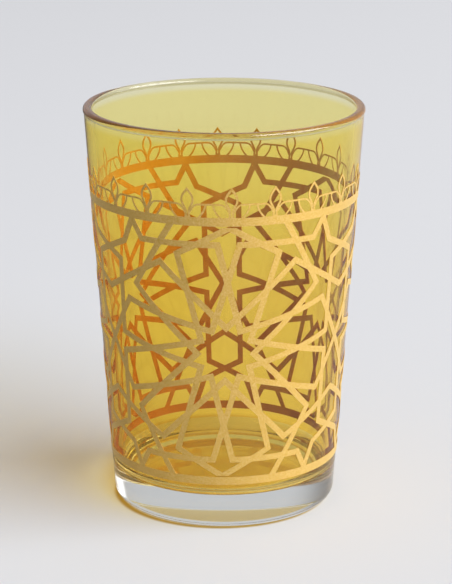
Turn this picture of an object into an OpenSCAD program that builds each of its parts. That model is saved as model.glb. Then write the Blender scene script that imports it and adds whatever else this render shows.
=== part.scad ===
// Tea glass: a tapered tumbler of clear pressed glass with a thick solid base,
// an amber lacquer sprayed on the outside of the wall, and a gold print on the lacquer.
// The glass stands on z = 0, centred on the z axis, and the rosette's front faces -y.

/* [Glass] */
// Height from the table to the top of the rim
glass_h = 90; // [80:0.5:110]
// Diameter of the outer wall, carried up to the rim
mouth_d = 61.6; // [54:0.2:70]
// Diameter of the outer wall, carried down to the table
foot_d = 49.8; // [42:0.2:56]
// Thickness of the wall at the rim
wall_mouth = 1.8; // [1.2:0.1:3]
// Thickness of the wall where it meets the solid base
wall_low = 2.3; // [1.6:0.1:4]
// Thickness of the solid base at the inside floor
base_t = 7; // [4:0.25:12]
// Radius of the round between the inside floor and the wall
floor_round = 4; // [1:0.25:8]
// Radius of the round at the heel
heel_round = 2.4; // [0.8:0.1:3]
// How far the fire-polished rim stands out past the wall
bead_out = 0.25; // [0:0.05:0.6]
// Width of the flat ring that the glass stands on
bearing_w = 2.4; // [1:0.1:5]
// Depth of the hollow under the base
hollow_d = 0.9; // [0.2:0.1:2]

/* [Amber lacquer] */
// Height of the lacquer's lower edge
lacquer_low = 8.4; // [4:0.1:12]
// Height of the lacquer's upper edge
lacquer_high = 87.6; // [76:0.1:88]
// Thickness of the lacquer
lacquer_t = 0.06; // [0.02:0.01:0.2]

/* [Gold print] */
// Thickness of the gold print
gold_t = 0.1; // [0.04:0.01:0.3]
// Height of the lower edge of the lower band
low_band_z = 10.8; // [9:0.1:16]
// Height of the lower edge of the upper band
high_band_z = 70; // [60:0.1:74]
// Width of each band
band_w = 1.85; // [1:0.05:3]
// Width of the straps of the star pattern
strap_w = 1.32; // [0.8:0.02:1.8]
// How far the star pattern leans round the wall between the bands, in degrees
lean = 2.9; // [0:0.1:4]
// Turn of the front rosette from the front of the glass, in degrees
rosette_turn = 0.6; // [-20:0.1:20]

/* [Leaf border] */
// Number of leaves round the glass
leaf_count = 20; // [16:1:22]
// Turn of the leaf next to the front of the glass, in degrees
leaf_turn = 3; // [0:0.1:18]
// Height of a leaf's tip over the upper band
leaf_h = 6.6; // [4:0.1:9]
// Width of a leaf
leaf_w = 2.9; // [2:0.1:4]
// Width of the line that draws a leaf
leaf_line = 0.46; // [0.3:0.02:0.7]
// Height of the arches between the leaves, to their upper edge
arch_h = 3.1; // [2:0.1:4]
// Width of the line that draws an arch and its legs
arch_line = 0.38; // [0.25:0.01:0.6]

/* [Hidden] */

amber = [0.82, 0.66, 0.16, 0.6];
clear = [0.85, 0.89, 0.86, 0.35];
gold = [0.80, 0.65, 0.40];

// Facets of the true cones and of the rounds
$fn = 96;
round_steps = 10;

// The wall's lines
function outer_r(z) = (foot_d + (mouth_d - foot_d) * z / glass_h) / 2;
wall_tilt = atan((mouth_d - foot_d) / 2 / glass_h);
mouth_in_r = mouth_d / 2 - wall_mouth;
floor_in_r = outer_r(base_t) - wall_low;
inner_tilt = atan((mouth_in_r - floor_in_r) / (glass_h - base_t));
function inner_r(z) = floor_in_r + (z - base_t) * tan(inner_tilt);

// The rim is round in section: it is as thick as the wall and the bead together
rim_round = (wall_mouth + bead_out) / 2;
rim_z = glass_h - rim_round;
rim_r = inner_r(rim_z) + rim_round / cos(inner_tilt);
bead_turn = acos(min(1, (outer_r(rim_z - rim_round) - rim_r) / rim_round));

// The heel's round touches the table and the wall
heel_r = outer_r(heel_round) - heel_round / cos(wall_tilt);
// The inside round touches the floor and the inner wall
floor_z = base_t + floor_round;
floor_r = inner_r(floor_z) - floor_round / cos(inner_tilt);
// The hollow under the base is part of a ball
hollow_r = heel_r - bearing_w;
hollow_ball = (hollow_r * hollow_r + hollow_d * hollow_d) / (2 * hollow_d);

// Points of an arc about a centre, from one angle to another
function arc(centre, radius, from, to, steps = round_steps) =
    [for (i = [0 : steps]) let (a = from + (to - from) * i / steps)
        centre + radius * [cos(a), sin(a)]];

// Half section of the glass, from the table up the outside, over the rim and down the inside
glass_section = concat(
    [[0, 0]],
    arc([heel_r, heel_round], heel_round, -90, -wall_tilt),
    arc([rim_r, rim_z], rim_round, -bead_turn, 180 - inner_tilt, 2 * round_steps),
    arc([floor_r, floor_z], floor_round, -inner_tilt, -90),
    [[0, base_t]]);

module glass_body() {
    color(clear)
    difference() {
        rotate_extrude() polygon(glass_section);
        translate([0, 0, hollow_d - hollow_ball]) sphere(hollow_ball);
    }
}

// Half section of a thin skin on the wall, between two heights
function skin_section(z_low, z_high, gap, thickness) = [
    [outer_r(z_low) + gap, z_low],
    [outer_r(z_low) + gap + thickness, z_low],
    [outer_r(z_high) + gap + thickness, z_high],
    [outer_r(z_high) + gap, z_high]];

module amber_lacquer() {
    color(amber)
    rotate_extrude() polygon(skin_section(lacquer_low, lacquer_high, 0, lacquer_t));
}

// A band of gold right round the glass
module gold_band(z_low) {
    color(gold)
    rotate_extrude() polygon(skin_section(z_low, z_low + band_w, lacquer_t, gold_t));
}

// The field between the bands holds three rosettes, each in a cell of a third of the way round
rosettes = 3;
cell_turn = 360 / rosettes;
field_low = low_band_z + band_w;
field_high = high_band_z;
field_mid = (field_low + field_high) / 2;
half_h = (field_high - field_low) / 2;
half_w = outer_r(field_mid) * PI / rosettes;

// The pattern's own points, as shares of half a cell
// Radius at which the straps of neighbouring points cross
cross_share = 0.57;
// Distance from the centre to the straps that close the petals
petal_share = 0.8565;
// Tips of the five-armed stars on the bands
tip_share = 0.7236;
// Knee below each tip, and shoulder of the hexagon beside it
knee_shares = [0.806, 0.811];
hexagon_shares = [petal_share, 0.658];

points = 12;
step = 360 / points;
half_step = step / 2;
// Each point's inner corner, where its two straps meet square
corner_share = cross_share * sin(half_step) / sin(step + half_step);
// Half the width of a petal's outer end
petal_end_share = (petal_share - cross_share) * tan(half_step);
// Where the closing straps of the slanted petals reach the edge of the cell
slant_share = (petal_share - sin(step)) / cos(step);
// Where the closing straps of the upright petals turn towards the tips
turn_share = tip_share - (1 - petal_share) / tan(2 * step);
// Past the band's edge, so that a strap ends against the band
past_band_share = 1.06;

// A point turned clockwise about the rosette's centre
function turned(p, a) = [p.x * cos(a) + p.y * sin(a), p.y * cos(a) - p.x * sin(a)];
function inner_corner(k) = turned([0, corner_share], k * step);
function petal_corner(k, side) = turned([side * petal_end_share, petal_share], k * step);
function along_petal(k, side) = turned([side, petal_share], k * step);

// Straps as [before, start, end, after]: the first and last only set the cut of the ends
star_straps = [for (k = [0 : points - 1], side = [-1, 1])
    [petal_corner(k - side, -side), inner_corner(k), petal_corner(k + side, side),
     along_petal(k + side, side)]];

turn_point = [turn_share, petal_share];
tip_point = [tip_share, 1];
far_hexagon = [2 - hexagon_shares.x, hexagon_shares.y];
far_knee = [2 - knee_shares.x, knee_shares.y];
top_point = [0, petal_share / cos(step)];
side_point = [1, slant_share];
band_point = turned([-(past_band_share - petal_share * cos(2 * step)) / sin(2 * step),
                     petal_share], 2 * step);

quarter_straps = [
    [inner_corner(-1), petal_corner(0, 1), turn_point, tip_point],
    [petal_corner(0, 1), turn_point, tip_point, knee_shares],
    [turn_point, tip_point, knee_shares, far_hexagon],
    [tip_point, knee_shares, far_hexagon, [far_hexagon.x, 0]],
    [inner_corner(2), petal_corner(1, -1), top_point, turned([1, petal_share], -step)],
    [inner_corner(0), petal_corner(1, 1), side_point, [2, petal_share]],
    [inner_corner(3), petal_corner(2, -1), band_point, undef],
    [inner_corner(4), petal_corner(3, -1), hexagon_shares, far_knee]];

// This strap passes through the middle of the cell's right edge, into the next cell
joining_strap = [inner_corner(1), petal_corner(2, 1), [2, 0] - petal_corner(2, 1),
                 [2, 0] - inner_corner(1)];

function mirrored(p, m) = is_undef(p) ? undef : [p.x * m.x, p.y * m.y];
function mirrored_strap(strap, m) = [for (p = strap) mirrored(p, m)];
cell_straps = concat(star_straps,
    [for (strap = quarter_straps, mx = [-1, 1], my = [-1, 1]) mirrored_strap(strap, [mx, my])],
    [for (my = [-1, 1]) mirrored_strap(joining_strap, [1, my])]);

// The unrolled wall, in millimetres from the middle of a cell
function to_mm(p) = [p.x * half_w, p.y * half_h];
function unit(v) = v / norm(v);
function square_to(v) = [-v.y, v.x];

// A point of a cell: its turn from a view round the glass, and where the view sees it
function turn_from(p, cell, view) =
    cell * cell_turn + p.x / half_w * cell_turn / 2 + lean * p.y / half_h / 2
    + rosette_turn - view;
function seen(p, cell, view) =
    [(outer_r(field_mid + p.y) + lacquer_t + gold_t) * sin(turn_from(p, cell, view)),
     field_mid + p.y];

// A cell is drawn in views side by side, each seen square to the wall at its middle
views = 3;
view_half = cell_turn / views / 2;
view_lap = 2;

// The stretch of a strap that a view needs, a little past its two sides, as shares of its length
function stretch(strap, cell, view) =
    let (from = turn_from(to_mm(strap[1]), cell, view),
         rise = turn_from(to_mm(strap[2]), cell, view) - from,
         reach = view_half + view_lap,
         one = (-reach - from) / rise,
         other = (reach - from) / rise)
    abs(rise) < view_lap ? (abs(from) < reach ? [0, 1] : [0, 0]) :
    [max(0, min(one, other)), min(1, max(one, other))];

// Half the width of a strap, laid along the line that halves the angle with the next strap
function cut(p, along, next) =
    let (half = is_undef(next) ? along : unit(unit(to_mm(next) - p) + along))
    is_undef(next) ? square_to(along) * strap_w / 2 :
    square_to(half) / (half * along) * strap_w / 2;

// Outline of a stretch of a strap on the unrolled wall
function strap_outline(strap, part) =
    let (a = to_mm(strap[1]), b = to_mm(strap[2]), along = unit(b - a),
         from = a + (b - a) * part[0], to = a + (b - a) * part[1],
         at_from = part[0] > 0 ? cut(from, along, undef) : -cut(a, -along, strap[0]),
         at_to = part[1] < 1 ? cut(to, along, undef) : cut(b, along, strap[3]))
    [from + at_from, to + at_to, to - at_to, from - at_from];

// The straps in one view, joined into one flat drawing
ink_spread = 0.02;
module drawing(view) {
    view_w = outer_r(field_high) * sin(view_half) + strap_w;
    offset(delta = -ink_spread)
    offset(delta = ink_spread)
    intersection() {
        translate([-view_w, field_low - strap_w / 2])
            square([2 * view_w, field_high - field_low + strap_w]);
        for (cell = [-1 : 1], strap = cell_straps)
            let (part = stretch(strap, cell, view))
                if (part[0] < part[1])
                    polygon([for (p = strap_outline(strap, part)) seen(p, cell, view)]);
    }
}

// A solid cone that stands off the wall by a gap
module cone(z_low, z_high, gap) {
    translate([0, 0, z_low])
        cylinder(z_high - z_low, outer_r(z_low) + gap, outer_r(z_high) + gap);
}

// Neighbouring views stop a hair's breadth short of each other, so that each is sound by itself
hair = 0.02;

// Stands a drawing in front of the glass and keeps what lies in the gold's skin of the wall
overrun = 1;
module wrapped(view, half_turn, z_low, z_high) {
    near = outer_r(z_low) * cos(half_turn) - overrun;
    far = outer_r(z_high) / cos(half_turn) + overrun;
    near_side = near * tan(half_turn) - hair / 2;
    far_side = far * tan(half_turn) - hair / 2;
    rotate([0, 0, view])
    difference() {
        intersection() {
            translate([0, 0, z_low])
                linear_extrude(z_high - z_low)
                    polygon([[-near_side, -near], [-far_side, -far],
                             [far_side, -far], [near_side, -near]]);
            cone(z_low, z_high, lacquer_t + gold_t);
            translate([0, -near, 0])
                rotate([90, 0, 0])
                    linear_extrude(far - near) children();
        }
        cone(z_low - overrun, z_high + overrun, lacquer_t);
    }
}

// One rosette, with its half of the straps between it and each neighbour
module gold_rosette(cell) {
    color(gold)
    rotate([0, 0, cell * cell_turn])
        for (i = [0 : views - 1])
            let (view = (2 * i + 1) * view_half - cell_turn / 2)
                wrapped(view, view_half, field_low, field_high) drawing(view);
}

// The leaf border stands on the upper band
border_z = high_band_z + band_w;
border_top = border_z + leaf_h;
leaf_pitch = outer_r(border_z) * 2 * PI / leaf_count;
arch_mid = arch_h - arch_line / 2;

// One side of a leaf from its tip down to its stem, as shares of half its width and its height
tip_curve_shares = [[0, 1], [0.24, 0.9], [1, 0.78], [1, 0.59]];
side_curve_shares = [[1, 0.59], [1, 0.42], [0.46, 0.34], [0.34, 0.2]];
stem_shares = [[0.42, 0], [0.42, -0.02]];
// Half an arch from a stem to its crown, and one of its legs, as shares of half a pitch and
// of the arch's height
arch_curve_shares = [[0.08, 0.32], [0.2, 0.66], [0.29, 1], [0.53, 1]];
crown_shares = [[1.1, 1]];
leg_curve_shares = [[0.84, 1], [0.815, 0.62], [0.69, 0.27], [0.47, -0.06]];

// Points of a curve with two handles
curve_steps = 5;
function curve_point(c, t) =
    pow(1 - t, 3) * c[0] + 3 * pow(1 - t, 2) * t * c[1] + 3 * (1 - t) * t * t * c[2]
    + t * t * t * c[3];
function curve(c) = [for (i = [0 : curve_steps]) curve_point(c, i / curve_steps)];
function scaled(points, size) = [for (p = points) [p.x * size.x, p.y * size.y]];
function reversed(list) = [for (i = [len(list) - 1 : -1 : 0]) list[i]];

// Outline of a line of even width drawn along a row of points
function line_outline(row, width) =
    let (last = len(row) - 1,
         aside = [for (i = [0 : last])
             square_to(unit(row[min(i + 1, last)] - row[max(i - 1, 0)])) * width / 2])
    concat([for (i = [0 : last]) row[i] + aside[i]],
           reversed([for (i = [0 : last]) row[i] - aside[i]]));

module leaf_shape() {
    side = scaled(concat(curve(tip_curve_shares), curve(side_curve_shares), stem_shares),
                  [leaf_w / 2, leaf_h]);
    polygon(concat(side, reversed([for (p = side) [-p.x, p.y]])));
}

module leaf_drawing() {
    size = [leaf_pitch / 2, arch_mid];
    arch = scaled(concat(curve(arch_curve_shares), crown_shares), size);
    leg = scaled(curve(leg_curve_shares), size);
    translate([0, border_z]) {
        difference() {
            leaf_shape();
            offset(delta = -leaf_line) leaf_shape();
        }
        for (side = [0, 1])
            mirror([side, 0]) {
                polygon(line_outline(arch, arch_line));
                polygon(line_outline(leg, arch_line));
            }
    }
}

module gold_leaf_border() {
    half_turn = 180 / leaf_count;
    color(gold)
    for (i = [0 : leaf_count - 1])
        wrapped(leaf_turn + i * 2 * half_turn, half_turn, border_z, border_top)
            leaf_drawing();
}

glass_body();
amber_lacquer();
gold_band(high_band_z);  // gold_upper_band
gold_band(low_band_z);  // gold_lower_band
gold_rosette(0);  // gold_rosette_front
gold_rosette(1);  // gold_rosette_right
gold_rosette(-1);  // gold_rosette_left
gold_leaf_border();
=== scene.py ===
"""Studio picture of a Moroccan tea glass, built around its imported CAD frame.

The glass is turned on a lathe outline, the amber lacquer is a thin skin on its wall, and the
gold print is the frame's own, dressed in gold. Lengths are in metres unless a name says mm.
"""

from __future__ import annotations

import logging
import math
from collections.abc import Iterable
from dataclasses import dataclass
from enum import Enum

import bpy
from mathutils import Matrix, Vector

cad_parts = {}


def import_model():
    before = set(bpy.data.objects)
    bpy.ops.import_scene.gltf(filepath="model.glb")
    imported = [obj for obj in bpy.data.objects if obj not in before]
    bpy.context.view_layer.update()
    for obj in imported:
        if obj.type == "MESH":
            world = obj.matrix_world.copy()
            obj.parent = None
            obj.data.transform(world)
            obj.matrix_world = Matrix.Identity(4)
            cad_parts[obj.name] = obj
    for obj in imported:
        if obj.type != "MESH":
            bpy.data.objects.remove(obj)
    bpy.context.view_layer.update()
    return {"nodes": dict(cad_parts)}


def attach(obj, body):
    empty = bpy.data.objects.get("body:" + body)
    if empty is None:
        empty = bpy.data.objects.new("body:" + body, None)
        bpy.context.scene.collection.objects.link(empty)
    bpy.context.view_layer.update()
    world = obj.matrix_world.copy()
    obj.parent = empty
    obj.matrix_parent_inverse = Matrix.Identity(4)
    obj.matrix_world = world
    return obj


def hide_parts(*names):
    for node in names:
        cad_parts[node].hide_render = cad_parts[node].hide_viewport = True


log = logging.getLogger("tea_glass")

MM = 0.001
FULL_TURN = 2 * math.pi
# Points of a turned mesh that lie closer than this are one point.
WELD = 0.002 * MM
# Height of the lacquer's top edge, close under the bead.
LACQUER_TOP = 88.4 * MM
BODY = "root"
PICTURE_WIDTH_PX = 452
# A ray of lamp light that crosses both coated walls meets up to a dozen see-through faces.
FACES_CROSSED = 16
# Light turns many times inside the thick base before it leaves, and is dark if it is cut short.
TURNS_IN_GLASS = 24
# The Mix node's sockets go by number, because it repeats its names for each kind of data.
SHARE, NUMBER_A, NUMBER_B, COLOUR_A, COLOUR_B = 0, 2, 3, 6, 7
COLOUR_OUT = 2
SMOOTH = {"interpolation_type": "SMOOTHSTEP"}

Point = tuple[float, float]
Place = tuple[float, float, float]
Colour = tuple[float, float, float, float]
Socket = bpy.types.NodeSocket


class Slot(Enum):
    """The record's material slots."""

    GLASS = "clear_glass"
    LACQUER = "amber_lacquer"
    GOLD = "gold_print"


class Edges(Enum):
    """What a lathe outline does at its two ends."""

    ON_AXIS = "ends on the axis"
    RING = "closes on itself"


class GlassFace(Enum):
    """The parts of the glass that look different, by their place among its materials."""

    CLEAR = 0
    LACQUERED = 1
    BEAD = 2
    INSIDE_FLOOR = 3


def linear(code: str) -> Colour:
    """Turn an sRGB hex colour to the linear values that shaders work in.

    Args:
        code: Six hex digits, such as "E8C377".

    Returns:
        Linear red, green and blue, and an alpha of 1.
    """
    def value(pair: str) -> float:
        """One channel's linear value, by the sRGB curve."""
        share = int(pair, 16) / 255
        return share / 12.92 if share <= 0.04045 else ((share + 0.055) / 1.055) ** 2.4
    red, green, blue = (value(code[i:i + 2]) for i in (0, 2, 4))
    return red, green, blue, 1.0


def add_node(tree: bpy.types.NodeTree, kind: str, settings: dict | None = None,
             inputs: dict | None = None) -> bpy.types.Node:
    """Add a node with its settings, and feed its inputs.

    Args:
        tree: The node tree.
        kind: Blender's name of the node type.
        settings: Attribute names and values.
        inputs: Input names or numbers, each with a value, or with the socket that feeds it.

    Returns:
        The new node.
    """
    node = tree.nodes.new(kind)
    for name, setting in (settings or {}).items():
        setattr(node, name, setting)
    for key, given in (inputs or {}).items():
        if isinstance(given, Socket):
            tree.links.new(given, node.inputs[key])
        else:
            node.inputs[key].default_value = given
    return node


def new_material(name: str) -> tuple[bpy.types.Material, bpy.types.NodeTree]:
    """Make an empty node material.

    Args:
        name: The material's name.

    Returns:
        The material and its empty node tree.
    """
    material = bpy.data.materials.new(name)
    material.use_nodes = True
    material.node_tree.nodes.clear()
    return material, material.node_tree


def finish_material(tree: bpy.types.NodeTree, surface: Socket) -> None:
    """Link a surface shader to the material's output."""
    add_node(tree, "ShaderNodeOutputMaterial", inputs={"Surface": surface})


def let_lamps_through(tree: bpy.types.NodeTree, surface: Socket, share: Colour) -> Socket:
    """Let the lamps' rays pass a glass surface straight, so that they light what is behind it.

    Args:
        tree: The material's node tree.
        surface: The glass shader.
        share: How much of the lamps' light passes this surface.

    Returns:
        The mixed shader's output.
    """
    path = add_node(tree, "ShaderNodeLightPath")
    opening = add_node(tree, "ShaderNodeBsdfTransparent", inputs={"Color": share})
    return add_node(tree, "ShaderNodeMixShader", inputs={
        0: path.outputs["Is Shadow Ray"], 1: surface, 2: opening.outputs[0]}).outputs[0]


def mirrored_rays(tree: bpy.types.NodeTree, path: bpy.types.Node) -> Socket:
    """Tell rays that a surface mirrors from those it lets through, which count as glossy too.

    Args:
        tree: The node tree.
        path: Its light path node.

    Returns:
        1 for a ray that was mirrored, and 0 for any other.
    """
    return add_node(tree, "ShaderNodeMath", {"operation": "SUBTRACT", "use_clamp": True}, {
        0: path.outputs["Is Glossy Ray"], 1: path.outputs["Is Transmission Ray"]}).outputs[0]


@dataclass(frozen=True)
class PressedGlass:
    """Soda-lime glass, pressed and fire-polished: clear, with hardly any green in its depth."""

    tint: str = "FBFDF9"
    bead_tint: str = "E8D684"
    # The inside floor's tint is painted amber light from the lacquered wall.
    inside_floor_painted_light: str = "FFFBC0"
    lamp_share: str = "F3F0ED"
    ior: float = 1.52

    def material(self) -> bpy.types.Material:
        """Build the clear glass."""
        return self.plain("soda_lime_glass", self.tint)

    def bead(self) -> bpy.types.Material:
        """Build the outside of the rim's bead, which caught a breath of the amber spray."""
        return self.plain("soda_lime_glass_under_spray", self.bead_tint)

    def inside_floor(self) -> bpy.types.Material:
        """Build the inside floor and its round, tinted with painted amber light of the lacquered
        wall.
        """
        return self.plain("soda_lime_glass_floor", self.inside_floor_painted_light)

    def plain(self, name: str, tint: str) -> bpy.types.Material:
        """Build glass without lacquer on it.

        Args:
            name: The material's name.
            tint: The tint of what is seen through it.

        Returns:
            The material.
        """
        # Polished glass shows a bent view of what is behind it, with sharp bright edges.
        material, tree = new_material(name)
        shader = add_node(tree, "ShaderNodeBsdfPrincipled", inputs={
            "Base Color": linear(tint), "Roughness": 0.0, "IOR": self.ior,
            "Transmission Weight": 1.0})
        finish_material(tree, let_lamps_through(tree, shader.outputs[0],
                                                linear(self.lamp_share)))
        return material

    def lacquered(self, lacquer: AmberLacquer) -> bpy.types.Material:
        """Build the glass's outer wall under the lacquer.

        Args:
            lacquer: The lacquer on this wall.

        Returns:
            The material.
        """
        # Glass and film are bonded, so the outside shine is the lacquer's alone. Light that
        # stays in the wall passes the film twice at each bounce, which turns it brown.
        material, tree = new_material("soda_lime_glass_under_lacquer")
        through = add_node(tree, "ShaderNodeBsdfRefraction",
                           inputs={"Roughness": 0.0, "IOR": self.ior})
        bounce = add_node(tree, "ShaderNodeBsdfAnisotropic",
                          inputs={"Color": linear(lacquer.bounce_tint), "Roughness": 0.0})
        glow = add_node(tree, "ShaderNodeBsdfTranslucent",
                        inputs={"Color": linear(lacquer.glow_tint)})
        hazy = add_node(tree, "ShaderNodeMixShader", inputs={
            0: lacquer.haze, 1: bounce.outputs[0], 2: glow.outputs[0]})
        mirror = add_node(tree, "ShaderNodeFresnel", inputs={"IOR": self.ior})
        side = add_node(tree, "ShaderNodeNewGeometry")
        share = add_node(tree, "ShaderNodeMath", {"operation": "MULTIPLY"},
                         {0: mirror.outputs[0], 1: side.outputs["Backfacing"]})
        both = add_node(tree, "ShaderNodeMixShader", inputs={
            0: share.outputs[0], 1: through.outputs[0], 2: hazy.outputs[0]})
        finish_material(tree, let_lamps_through(tree, both.outputs[0],
                                                linear(self.lamp_share)))
        return material


@dataclass(frozen=True)
class AmberLacquer:
    """Sprayed amber lacquer: a see-through film that filters light and shines on its outside."""

    edge_tint: str = "FFFAD8"
    high_tint: str = "FEF2A6"
    low_tint: str = "FDE68A"
    bond_tint: str = "FFFFFF"
    bounce_tint: str = "F0E298"
    glow_tint: str = "C29A4A"
    haze: float = 0.2
    edge_z: float = LACQUER_TOP
    thin_z: float = 86.6 * MM
    full_z: float = 50 * MM
    ior: float = 1.5
    gloss: float = 0.02

    def outside(self) -> bpy.types.Material:
        """Build the film's shining outer face, which holds the whole tint."""
        # Sprayed lacquer is a coloured pane with a wet shine, palest where the spray ends.
        material, tree = new_material("amber_lacquer")
        place = add_node(tree, "ShaderNodeTexCoord")
        height = add_node(tree, "ShaderNodeSeparateXYZ", inputs={0: place.outputs["Object"]})
        tint = linear(self.edge_tint)
        for start, end, colour in ((self.edge_z, self.thin_z, self.high_tint),
                                   (self.thin_z, self.full_z, self.low_tint)):
            depth = add_node(tree, "ShaderNodeMapRange", SMOOTH, {
                "From Min": start, "From Max": end, "Value": height.outputs["Z"]})
            tint = add_node(tree, "ShaderNodeMix", {"data_type": "RGBA"}, {
                SHARE: depth.outputs[0], COLOUR_A: tint,
                COLOUR_B: linear(colour)}).outputs[COLOUR_OUT]
        film = add_node(tree, "ShaderNodeBsdfTransparent", inputs={"Color": tint})
        shine = add_node(tree, "ShaderNodeBsdfAnisotropic", inputs={"Roughness": self.gloss})
        mirror = add_node(tree, "ShaderNodeFresnel", inputs={"IOR": self.ior})
        side = add_node(tree, "ShaderNodeNewGeometry")
        front = add_node(tree, "ShaderNodeMath", {"operation": "SUBTRACT"},
                         {0: 1.0, 1: side.outputs["Backfacing"]})
        share = add_node(tree, "ShaderNodeMath", {"operation": "MULTIPLY"},
                         {0: mirror.outputs[0], 1: front.outputs[0]})
        both = add_node(tree, "ShaderNodeMixShader", inputs={
            0: share.outputs[0], 1: film.outputs[0], 2: shine.outputs[0]})
        finish_material(tree, both.outputs[0])
        return material

    def inside(self) -> bpy.types.Material:
        """Build the film's hidden face, which touches the glass."""
        # Bonded lacquer has no face of its own on this side, so the eye sees nothing of it.
        material, tree = new_material("amber_lacquer_bond")
        film = add_node(tree, "ShaderNodeBsdfTransparent",
                        inputs={"Color": linear(self.bond_tint)})
        finish_material(tree, film.outputs[0])
        return material


@dataclass(frozen=True)
class BrightGold:
    """Screen-printed gold: metal powder in a binder, grainy, and golden brown from behind."""

    metal: str = "D4A83A"
    powder: str = "EAC880"
    back: str = "C4984C"
    powder_share: float = 0.42
    powder_spread: float = 0.35
    sheen: float = 1.0
    sheen_tint: str = "FFF0CC"
    sheen_roughness: float = 0.4
    roughness: float = 0.6
    roughness_spread: float = 0.05
    # The powder's real grains are a tenth of this, which is too fine to show.
    grain_mm: float = 0.3
    grain_detail: float = 3.0
    grain_roughness: float = 0.6
    grain_dark: float = 0.3
    grain_light: float = 0.7

    def material(self) -> bpy.types.Material:
        """Build the gold print."""
        # Metal powder in a binder shines dully, with pale grains where the powder lies flat.
        material, tree = new_material("bright_gold_print")
        place = add_node(tree, "ShaderNodeTexCoord")
        grain = add_node(tree, "ShaderNodeTexNoise", inputs={
            "Vector": place.outputs["Object"], "Scale": 1 / (self.grain_mm * MM),
            "Detail": self.grain_detail, "Roughness": self.grain_roughness})
        rough = add_node(tree, "ShaderNodeMapRange", inputs={
            "Value": grain.outputs[0], "To Min": self.roughness - self.roughness_spread,
            "To Max": self.roughness + self.roughness_spread})
        shader = add_node(tree, "ShaderNodeBsdfPrincipled", inputs={
            "Base Color": linear(self.metal), "Metallic": 1.0,
            "Roughness": rough.outputs[0], "Sheen Weight": self.sheen,
            "Sheen Roughness": self.sheen_roughness, "Sheen Tint": linear(self.sheen_tint)})
        powder = add_node(tree, "ShaderNodeBsdfDiffuse", inputs={"Color": linear(self.powder)})
        share = add_node(tree, "ShaderNodeMapRange", inputs={
            "Value": grain.outputs[0], "From Min": self.grain_dark,
            "From Max": self.grain_light, "To Min": self.powder_share - self.powder_spread,
            "To Max": self.powder_share + self.powder_spread})
        both = add_node(tree, "ShaderNodeMixShader", inputs={
            0: share.outputs[0], 1: shader.outputs[0], 2: powder.outputs[0]})
        back = add_node(tree, "ShaderNodeBsdfDiffuse", inputs={"Color": linear(self.back)})
        sides = add_node(tree, "ShaderNodeMixShader", inputs={
            0: self.inwards(tree, place), 1: both.outputs[0], 2: back.outputs[0]})
        finish_material(tree, sides.outputs[0])
        return material

    @staticmethod
    def inwards(tree: bpy.types.NodeTree, place: bpy.types.Node) -> Socket:
        """Tell the print's underside, which faces the glass, from its outside.

        Args:
            tree: The material's node tree.
            place: The texture coordinate node.

        Returns:
            1 where the surface faces the glass's axis, and 0 elsewhere.
        """
        level = add_node(tree, "ShaderNodeVectorMath", {"operation": "MULTIPLY"},
                         {0: place.outputs["Object"], 1: (1.0, 1.0, 0.0)})
        facing = add_node(tree, "ShaderNodeNewGeometry")
        dot = add_node(tree, "ShaderNodeVectorMath", {"operation": "DOT_PRODUCT"},
                       {0: level.outputs[0], 1: facing.outputs["Normal"]})
        return add_node(tree, "ShaderNodeMath", {"operation": "LESS_THAN"},
                        {0: dot.outputs["Value"], 1: 0.0}).outputs[0]


def arc(centre: Point, radius: float, start: float, end: float, steps: int) -> list[Point]:
    """Points of an arc in the half section.

    Args:
        centre: Distance from the axis, and height.
        radius: The arc's radius.
        start: First angle, in degrees from straight outwards.
        end: Last angle.
        steps: Number of steps.

    Returns:
        The arc's points, both ends among them.
    """
    angles = (math.radians(start + (end - start) * i / steps) for i in range(steps + 1))
    return [(centre[0] + radius * math.cos(a), centre[1] + radius * math.sin(a)) for a in angles]


def only_active(obj: bpy.types.Object) -> None:
    """Select one object alone, and make it active."""
    bpy.ops.object.select_all(action="DESELECT")
    obj.select_set(True)
    bpy.context.view_layer.objects.active = obj


def facing_out(face: bpy.types.MeshPolygon) -> float:
    """Say how far a face looks away from the axis, from 1 straight outwards to -1 inwards."""
    return face.normal.dot(Vector((face.center.x, face.center.y, 0)).normalized())


def turned(name: str, outline: list[Point], edges: Edges, segments: int) -> bpy.types.Object:
    """Turn a half section round the z axis: one vertex is extruded along it, then spun.

    Args:
        name: The piece's name.
        outline: Points as distance from the axis and height, in order.
        edges: Whether the outline ends on the axis or closes on itself.
        segments: Steps round the axis.

    Returns:
        The finished closed mesh object, at the origin.
    """
    bpy.ops.object.select_all(action="DESELECT")
    start = outline[0]
    bpy.ops.mesh.primitive_plane_add(size=MM, location=(start[0], 0, start[1]))
    obj = bpy.context.active_object
    obj.name = obj.data.name = name
    bpy.ops.object.transform_apply(location=True, rotation=False, scale=False)
    bpy.ops.object.mode_set(mode="EDIT")
    bpy.ops.mesh.select_mode(type="VERT")
    bpy.ops.mesh.select_all(action="SELECT")
    bpy.ops.mesh.merge(type="CENTER")
    path = outline + [start] if edges is Edges.RING else outline
    for here, there in zip(path, path[1:]):
        step = (there[0] - here[0], 0, there[1] - here[1])
        bpy.ops.mesh.extrude_vertices_move(TRANSFORM_OT_translate={"value": step})
    bpy.ops.mesh.select_all(action="SELECT")
    bpy.ops.mesh.spin(steps=segments, angle=FULL_TURN, center=(0, 0, 0), axis=(0, 0, 1))
    bpy.ops.mesh.select_all(action="SELECT")
    bpy.ops.mesh.remove_doubles(threshold=WELD)
    bpy.ops.mesh.normals_make_consistent(inside=False)
    bpy.ops.object.mode_set(mode="OBJECT")
    return obj


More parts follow.
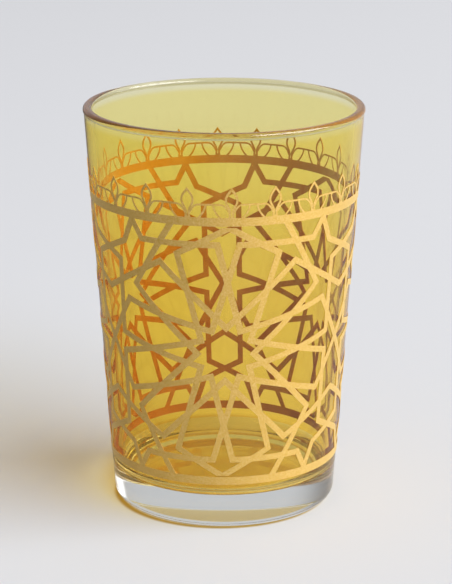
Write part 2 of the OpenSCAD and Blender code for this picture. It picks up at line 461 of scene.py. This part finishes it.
@dataclass(frozen=True)
class Glass:
    """The pressed tumbler, with the frame's sizes, but its own rim and shallower hollow."""

    height: float = 90 * MM
    mouth_r: float = 30.8 * MM
    foot_r: float = 24.9 * MM
    wall_mouth: float = 1.8 * MM
    wall_low: float = 2.3 * MM
    base_t: float = 7 * MM
    floor_round: float = 4 * MM
    heel_round: float = 2.4 * MM
    bead_out: float = 0.21 * MM
    rim_outer_round: float = 0.8 * MM
    rim_inner_round: float = 0.75 * MM
    neck_round: float = 0.4 * MM
    bearing_w: float = 2.4 * MM
    hollow_d: float = 0.4 * MM
    coat_low: float = 8.4 * MM
    coat_high: float = LACQUER_TOP
    segments: int = 240
    round_steps: int = 16
    wall_steps: int = 12
    floor_steps: int = 4
    short_steps: int = 2
    # Next to each end of a straight stretch lies a point at this distance, or at this share of
    # a short step, which keeps the smooth shading of a round from running into the flat.
    support: float = 0.08 * MM
    support_share: float = 0.4
    # A face counts as wall, or as the side of the bead, when it looks outwards more than this.
    wall_facing: float = 0.5
    side_facing: float = 0.1

    @property
    def out_tilt(self) -> float:
        """The outer wall's lean, in degrees."""
        return math.degrees(math.atan((self.mouth_r - self.foot_r) / self.height))

    @property
    def in_tilt(self) -> float:
        """The inner wall's lean, in degrees."""
        rise = self.inner(self.height) - self.inner(self.base_t)
        return math.degrees(math.atan(rise / (self.height - self.base_t)))

    def outer(self, z: float) -> float:
        """The outer wall's radius at a height."""
        return self.foot_r + (self.mouth_r - self.foot_r) * z / self.height

    def inner(self, z: float) -> float:
        """The inner wall's radius at a height."""
        low = self.outer(self.base_t) - self.wall_low
        high = self.mouth_r - self.wall_mouth
        return low + (high - low) * (z - self.base_t) / (self.height - self.base_t)

    def outline(self) -> list[Point]:
        """The half section, from under the base up the outside and down to the inside floor.

        Returns:
            Points from the axis under the base to the axis on the inside floor.
        """
        under, rim, inside = self.underside(), self.rim(), self.inside()
        return (under + self.outside(under[-1], rim[0]) + rim
                + self.between(rim[-1], inside[0], self.wall_steps) + inside)

    def underside(self) -> list[Point]:
        """Points of the shallow hollow, the flat bearing ring and the rounded heel."""
        heel_r = (self.outer(self.heel_round)
                  - self.heel_round / math.cos(math.radians(self.out_tilt)))
        hollow_r = heel_r - self.bearing_w
        ball = (hollow_r ** 2 + self.hollow_d ** 2) / (2 * self.hollow_d)
        half_angle = math.degrees(math.asin(hollow_r / ball))
        hollow = arc((0, self.hollow_d - ball), ball, 90, 90 - half_angle, 2 * self.round_steps)
        heel = arc((heel_r, self.heel_round), self.heel_round, -90, -self.out_tilt,
                   self.round_steps)
        return hollow + self.between(hollow[-1], (heel_r, 0), self.short_steps) + heel

    def outside(self, heel: Point, neck: Point) -> list[Point]:
        """Points of the outer wall, with one at each edge of the lacquer.

        Args:
            heel: Top of the heel's round.
            neck: Lower end of the round under the bead.

        Returns:
            The points from low to high, without these two ends.
        """
        low_edge = (self.outer(self.coat_low), self.coat_low)
        high_edge = (self.outer(self.coat_high), self.coat_high)
        return (self.between(heel, low_edge, self.short_steps) + [low_edge]
                + self.between(low_edge, high_edge, self.wall_steps) + [high_edge]
                + self.between(high_edge, neck, 1))

    def rim(self) -> list[Point]:
        """Points of the fire-polished rim: its neck, bead, short flat top and inner round."""
        bead_z = self.height - self.rim_outer_round
        bead_r = self.outer(bead_z) + self.bead_out - self.rim_outer_round
        lip_z = self.height - self.rim_inner_round
        lip_r = (self.inner(lip_z)
                 + self.rim_inner_round / math.cos(math.radians(self.in_tilt)))
        neck, bead_start = self.neck((bead_r, bead_z))
        bead = arc((bead_r, bead_z), self.rim_outer_round, bead_start, 90, self.round_steps)
        return (neck + bead[1:] + self.between((bead_r, self.height), (lip_r, self.height), 1)
                + arc((lip_r, lip_z), self.rim_inner_round, 90, 180 - self.in_tilt,
                      self.round_steps))

    def neck(self, bead: Point) -> tuple[list[Point], float]:
        """Small hollow round that joins the outer wall to the rim's bead.

        Args:
            bead: Middle of the bead's section.

        Returns:
            Points of the round, and the angle at which the bead's own round starts, in degrees.
        """
        tilt = math.radians(self.out_tilt)
        foot = (self.foot_r + self.neck_round * math.cos(tilt),
                -self.neck_round * math.sin(tilt))
        to_foot = (foot[0] - bead[0], foot[1] - bead[1])
        along = to_foot[0] * math.sin(tilt) + to_foot[1] * math.cos(tilt)
        reach = self.rim_outer_round + self.neck_round
        rest = to_foot[0] ** 2 + to_foot[1] ** 2 - reach ** 2
        up = -along - math.sqrt(along ** 2 - rest)
        middle = (foot[0] + up * math.sin(tilt), foot[1] + up * math.cos(tilt))
        towards = math.degrees(math.atan2(bead[1] - middle[1], bead[0] - middle[0]))
        return (arc(middle, self.neck_round, 180 - self.out_tilt, towards, self.round_steps),
                towards - 180)

    def inside(self) -> list[Point]:
        """Points of the round at the foot of the inner wall, and of the inside floor."""
        floor_z = self.base_t + self.floor_round
        floor_r = (self.inner(floor_z)
                   - self.floor_round / math.cos(math.radians(self.in_tilt)))
        corner = arc((floor_r, floor_z), self.floor_round, -self.in_tilt, -90, self.round_steps)
        corner[0] = (self.inner(floor_z), floor_z)
        middle = (0.0, self.base_t)
        return corner + self.between(corner[-1], middle, self.floor_steps) + [middle]

    def between(self, low: Point, high: Point, steps: int) -> list[Point]:
        """Points along a straight stretch without its ends, with one close to each end.

        Args:
            low: First end.
            high: Last end.
            steps: Even steps between the two.

        Returns:
            The points in order.
        """
        margin = min(self.support / math.dist(low, high), self.support_share / steps)
        shares = [margin] + [i / steps for i in range(1, steps)] + [1 - margin]
        return [(low[0] + (high[0] - low[0]) * s, low[1] + (high[1] - low[1]) * s)
                for s in shares]

    def part_of(self, face: bpy.types.MeshPolygon) -> GlassFace:
        """Tell which part of the glass a face belongs to.

        Args:
            face: A face of the turned glass.

        Returns:
            The part, for the face's material.
        """
        out, z = facing_out(face), face.center.z
        if out > self.wall_facing and self.coat_low < z < self.coat_high:
            return GlassFace.LACQUERED
        if out > self.side_facing and z > self.height - 2 * self.rim_outer_round:
            return GlassFace.BEAD
        low_inside = face.normal.z > 0 and z < self.base_t + self.floor_round
        return GlassFace.INSIDE_FLOOR if low_inside and out < self.side_facing else GlassFace.CLEAR

    def build(self, finish: PressedGlass, lacquer: AmberLacquer) -> bpy.types.Object:
        """Turn the glass and dress it.

        Args:
            finish: The clear glass.
            lacquer: The lacquer that lies on the outside of the wall.

        Returns:
            The finished piece.
        """
        body = turned("tea_glass_body", self.outline(), Edges.ON_AXIS, self.segments)
        for material in (finish.material(), finish.lacquered(lacquer), finish.bead(),
                         finish.inside_floor()):
            body.data.materials.append(material)
        for face in body.data.polygons:
            face.material_index = self.part_of(face).value
        only_active(body)
        bpy.ops.object.shade_smooth()
        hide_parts("glass_body")
        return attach(body, BODY)


@dataclass(frozen=True)
class LacquerSkin:
    """The lacquer on the outside of the wall, from over the base to under the rim."""

    glass: Glass
    clearance: float = 0.004 * MM
    thickness: float = 0.02 * MM
    steps: int = 12
    sharp_edge_deg: float = 40.0

    def build(self, finish: AmberLacquer) -> bpy.types.Object:
        """Turn the skin, with one finish outside and one on the side that touches the glass.

        Args:
            finish: The amber lacquer.

        Returns:
            The finished piece.
        """
        low, high = self.glass.coat_low, self.glass.coat_high
        heights = [low + (high - low) * i / self.steps for i in range(self.steps + 1)]
        near = [(self.glass.outer(z) + self.clearance, z) for z in heights]
        far = [(r + self.thickness, z) for r, z in near]
        skin = turned("amber_lacquer_skin", near[::-1] + far, Edges.RING,
                      self.glass.segments)
        skin.data.materials.append(finish.outside())
        skin.data.materials.append(finish.inside())
        for face in skin.data.polygons:
            face.material_index = 0 if facing_out(face) > 0 else 1
        only_active(skin)
        bpy.ops.object.shade_smooth_by_angle(angle=math.radians(self.sharp_edge_deg))
        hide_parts("amber_lacquer")
        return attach(skin, BODY)


@dataclass(frozen=True)
class GoldPrint:
    """The print's bands, rosettes and leaf border, which the frame holds at their true shapes."""

    nodes: tuple[str, ...] = (
        "gold_upper_band", "gold_lower_band", "gold_rosette_front", "gold_rosette_right",
        "gold_rosette_left", "gold_leaf_border")

    def dress(self, found: dict[str, bpy.types.Object],
              finish: BrightGold) -> list[bpy.types.Object]:
        """Give each of the frame's gold nodes the gold finish.

        Args:
            found: The frame's nodes by name.
            finish: The gold.

        Returns:
            The dressed pieces.
        """
        gold = finish.material()
        pieces = [found[name] for name in self.nodes]
        for piece in pieces:
            piece.data.materials.clear()
            piece.data.materials.append(gold)
        return pieces


@dataclass(frozen=True)
class Studio:
    """The pale floor, the soft light and the camera at the photograph's angle."""

    # Paper, with painted amber light round the glass and a painted golden ring of light at its
    # foot
    floor_width: float = 12.0
    floor_colour: str = "E1E1E3"
    painted_cast_colour: str = "CFBE90"
    painted_cast_middle: Place = (-2 * MM, 11 * MM, 0)
    painted_cast_reach: Place = (29 * MM, 36 * MM, 1.0)
    painted_cast_full_share: float = 0.75
    painted_foot_light: str = "B09450"
    painted_foot_light_middle: Place = (-0.8 * MM, 0, 0)
    painted_foot_light_r: float = 23.6 * MM
    painted_foot_light_half: float = 1.3 * MM
    painted_foot_light_core: float = 0.2 * MM
    # What gold and lacquer mirror of the paper, dim at the left
    mirrored_left: float = 0.3
    mirrored_dim_x: float = -120 * MM
    mirrored_full_x: float = 40 * MM
    # Room
    sky_colour: str = "F6F7FC"
    sky_light: float = 0.36
    paper_way: Place = (0.7, 0.7, 0.0)
    paper_turn: float = 0.35
    paper_sweep: float = 0.62
    dim_room: float = 0.14
    window_glow: float = 1.6
    window_way: Place = (0.93, 0.0, 0.36)
    mirrored_glow: float = 3.5
    mirrored_way: Place = (0.73, -0.37, 0.57)
    window_edge: tuple[float, float] = (0.84, 0.92)
    # Key light
    key_colour: str = "FDFEFF"
    key_turn_deg: float = -27.0
    key_rise_deg: float = 35.0
    key_distance: float = 5.0
    key_target: Place = (0, 0, 40 * MM)
    key_size: tuple[float, float] = (6.2, 3.0)
    key_power: float = 385.0
    # Camera
    camera_place: Place = (0.0, -0.4778, 0.1883)
    camera_pitch_deg: float = 16.47
    camera_near: float = 10 * MM
    sensor_mm: float = 36.0
    focal_px: float = 2219.7
    axis_px: float = 224.134

    def build(self) -> None:
        """Set up the floor, the lights, the world and the camera."""
        self.floor()
        self.room()
        self.light()
        self.camera()

    def floor(self) -> None:
        """Lay the paper under the glass."""
        bpy.ops.object.select_all(action="DESELECT")
        bpy.ops.mesh.primitive_plane_add(size=self.floor_width, location=(0, 0, 0))
        floor = bpy.context.active_object
        floor.name = "studio_floor"
        # Matte paper has no shine, so it shows only soft shadow and the amber light of the glass,
        # which is painted into its colour.
        material, tree = new_material("matte_paper_floor")
        place = add_node(tree, "ShaderNodeTexCoord")
        shown = add_node(tree, "ShaderNodeVectorMath", {"operation": "SCALE"}, {
            0: self.paper_and_painted_light_colour(tree, place), "Scale": self.paper_level(tree, place)})
        paper = add_node(tree, "ShaderNodeBsdfDiffuse", inputs={"Color": shown.outputs[0]})
        finish_material(tree, paper.outputs[0])
        floor.data.materials.append(material)

    def paper_and_painted_light_colour(self, tree: bpy.types.NodeTree, place: bpy.types.Node) -> Socket:
        """Colour the paper, with painted light: amber round the glass, golden in a ring at its
        foot.

        Args:
            tree: The floor material's node tree.
            place: Its texture coordinate node.

        Returns:
            The paper's colour, with the painted light in it.
        """
        from_glass = add_node(tree, "ShaderNodeVectorMath", {"operation": "SUBTRACT"},
                              {0: place.outputs["Object"], 1: self.painted_cast_middle})
        shares = add_node(tree, "ShaderNodeVectorMath", {"operation": "DIVIDE"},
                          {0: from_glass.outputs[0], 1: self.painted_cast_reach})
        reach = add_node(tree, "ShaderNodeVectorMath", {"operation": "LENGTH"},
                         {0: shares.outputs[0]})
        # Painted amber light of the glass on the paper, strongest close round its foot.
        painted_cast_share = add_node(tree, "ShaderNodeMapRange", SMOOTH, {
            "Value": reach.outputs["Value"], "From Min": 1.0, "From Max": self.painted_cast_full_share})
        from_foot = add_node(tree, "ShaderNodeVectorMath", {"operation": "DISTANCE"},
                             {0: place.outputs["Object"], 1: self.painted_foot_light_middle})
        past_line = add_node(tree, "ShaderNodeMath", {"operation": "SUBTRACT"},
                             {0: from_foot.outputs["Value"], 1: self.painted_foot_light_r})
        off_line = add_node(tree, "ShaderNodeMath", {"operation": "ABSOLUTE"},
                            {0: past_line.outputs[0]})
        # Painted golden ring of light where the glass stands on the paper.
        painted_ring_share = add_node(tree, "ShaderNodeMapRange", SMOOTH, {
            "Value": off_line.outputs[0], "From Min": self.painted_foot_light_half,
            "From Max": self.painted_foot_light_core})
        colour = linear(self.floor_colour)
        for share, light in ((painted_cast_share, self.painted_cast_colour), (painted_ring_share, self.painted_foot_light)):
            colour = add_node(tree, "ShaderNodeMix", {"data_type": "RGBA"}, {
                SHARE: share.outputs[0], COLOUR_A: colour,
                COLOUR_B: linear(light)}).outputs[COLOUR_OUT]
        return colour

    def paper_level(self, tree: bpy.types.NodeTree, place: bpy.types.Node) -> Socket:
        """Dim the paper towards the left in what gold and lacquer mirror, and nowhere else.

        The photograph's paper ends there and the room is dark.

        Args:
            tree: The floor material's node tree.
            place: Its texture coordinate node.

        Returns:
            The factor on the paper's colour.
        """
        parts = add_node(tree, "ShaderNodeSeparateXYZ", inputs={0: place.outputs["Object"]})
        lit = add_node(tree, "ShaderNodeMapRange", SMOOTH, {
            "Value": parts.outputs["X"], "From Min": self.mirrored_dim_x,
            "From Max": self.mirrored_full_x, "To Min": self.mirrored_left, "To Max": 1.0})
        path = add_node(tree, "ShaderNodeLightPath")
        return add_node(tree, "ShaderNodeMix", {"data_type": "FLOAT"}, {
            SHARE: mirrored_rays(tree, path), NUMBER_A: 1.0,
            NUMBER_B: lit.outputs[0]}).outputs[0]

    def room(self) -> None:
        """Fill the room with even light, and let glass and metal show it as it looks."""
        world = bpy.data.worlds.new("studio_room")
        bpy.context.scene.world = world
        world.use_nodes = True
        tree = world.node_tree
        tree.nodes.clear()
        path = add_node(tree, "ShaderNodeLightPath")
        strength = add_node(tree, "ShaderNodeMix", {"data_type": "FLOAT"}, {
            SHARE: self.seeing_rays(tree, path), NUMBER_A: self.sky_light,
            NUMBER_B: self.seen_room(tree, path)})
        sky = add_node(tree, "ShaderNodeBackground", inputs={
            "Color": linear(self.sky_colour), "Strength": strength.outputs[0]})
        add_node(tree, "ShaderNodeOutputWorld", inputs={"Surface": sky.outputs[0]})

    def seeing_rays(self, tree: bpy.types.NodeTree, path: bpy.types.Node) -> Socket:
        """Tell the rays that show the room from those that only light something.

        Args:
            tree: The world's node tree.
            path: Its light path node.

        Returns:
            1 for a ray that comes straight from the camera, or by way of glass or a shine.
        """
        seen = path.outputs["Is Camera Ray"]
        for kind in ("Is Glossy Ray", "Is Transmission Ray"):
            seen = add_node(tree, "ShaderNodeMath", {"operation": "MAXIMUM"},
                            {0: seen, 1: path.outputs[kind]}).outputs[0]
        direct = add_node(tree, "ShaderNodeMath", {"operation": "LESS_THAN"},
                          {0: path.outputs["Diffuse Depth"], 1: 1.0})
        return add_node(tree, "ShaderNodeMath", {"operation": "MULTIPLY"},
                        {0: seen, 1: direct.outputs[0]}).outputs[0]

    def seen_room(self, tree: bpy.types.NodeTree, path: bpy.types.Node) -> Socket:
        """Make the room as glass and metal show it.

        The paper rises behind the glass as pale as the floor, and the window is at the right.
        The room at the left and in front is dim.

        Args:
            tree: The world's node tree.
            path: Its light path node.

        Returns:
            The room's brightness in each direction.
        """
        way = add_node(tree, "ShaderNodeTexCoord")
        paper_side = add_node(tree, "ShaderNodeVectorMath", {"operation": "DOT_PRODUCT"},
                              {0: way.outputs["Generated"], 1: self.paper_way})
        bright = add_node(tree, "ShaderNodeMapRange", SMOOTH, {
            "Value": paper_side.outputs["Value"], "From Min": -self.paper_turn,
            "From Max": self.paper_turn, "To Min": self.dim_room,
            "To Max": self.paper_sweep}).outputs[0]
        windows = (
            (self.window_way, self.window_glow, path.outputs["Is Transmission Ray"]),
            (self.mirrored_way, self.mirrored_glow, mirrored_rays(tree, path)))
        for window_way, glow, rays in windows:
            near_window = add_node(tree, "ShaderNodeVectorMath", {"operation": "DOT_PRODUCT"},
                                   {0: way.outputs["Generated"], 1: window_way})
            patch = add_node(tree, "ShaderNodeMapRange", SMOOTH, {
                "Value": near_window.outputs["Value"], "From Min": self.window_edge[0],
                "From Max": self.window_edge[1], "To Min": 0.0, "To Max": glow})
            bright = add_node(tree, "ShaderNodeMath", {"operation": "MULTIPLY_ADD"},
                              {0: patch.outputs[0], 1: rays, 2: bright}).outputs[0]
        return bright

    def light(self) -> None:
        """Hang the soft key light at the right. Glass doesn't show the lamp itself."""
        data = bpy.data.lights.new("key_softbox", "AREA")
        data.shape = "RECTANGLE"
        data.size, data.size_y = self.key_size
        data.color = linear(self.key_colour)[:3]
        data.energy = self.key_power
        lamp = bpy.data.objects.new("key_softbox", data)
        lamp.visible_transmission = False
        turn, rise = math.radians(self.key_turn_deg), math.radians(self.key_rise_deg)
        towards = Vector((math.cos(turn) * math.cos(rise), math.sin(turn) * math.cos(rise),
                          math.sin(rise)))
        lamp.location = Vector(self.key_target) + self.key_distance * towards
        lamp.rotation_euler = (-towards).to_track_quat("-Z", "Y").to_euler()
        bpy.context.scene.collection.objects.link(lamp)

    def camera(self) -> None:
        """Set the camera where the photograph was taken from."""
        data = bpy.data.cameras.new("camera")
        data.sensor_width = self.sensor_mm
        data.sensor_fit = "HORIZONTAL"
        data.lens = self.focal_px * self.sensor_mm / PICTURE_WIDTH_PX
        data.shift_x = 0.5 - self.axis_px / PICTURE_WIDTH_PX
        data.clip_start = self.camera_near
        camera = bpy.data.objects.new("camera", data)
        camera.location = self.camera_place
        camera.rotation_euler = (math.radians(90 - self.camera_pitch_deg), 0, 0)
        bpy.context.scene.collection.objects.link(camera)
        bpy.context.scene.camera = camera


def main() -> None:
    """Build the scene in order, and log how many faces each dressed piece has."""
    logging.basicConfig(level=logging.INFO)
    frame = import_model()
    bpy.context.scene.view_settings.view_transform = "Standard"
    path_limits = bpy.context.scene.cycles
    path_limits.transparent_max_bounces = FACES_CROSSED
    path_limits.max_bounces = TURNS_IN_GLASS
    path_limits.glossy_bounces = TURNS_IN_GLASS
    path_limits.transmission_bounces = TURNS_IN_GLASS
    glass = Glass()
    lacquer = AmberLacquer()
    pieces = [glass.build(PressedGlass(), lacquer), LacquerSkin(glass).build(lacquer)]
    pieces += GoldPrint().dress(frame["nodes"], BrightGold())
    for piece in pieces:
        log.info("%s: %d faces", piece.name, len(piece.data.polygons))
    Studio().build()


if __name__ == "__main__":
    main()
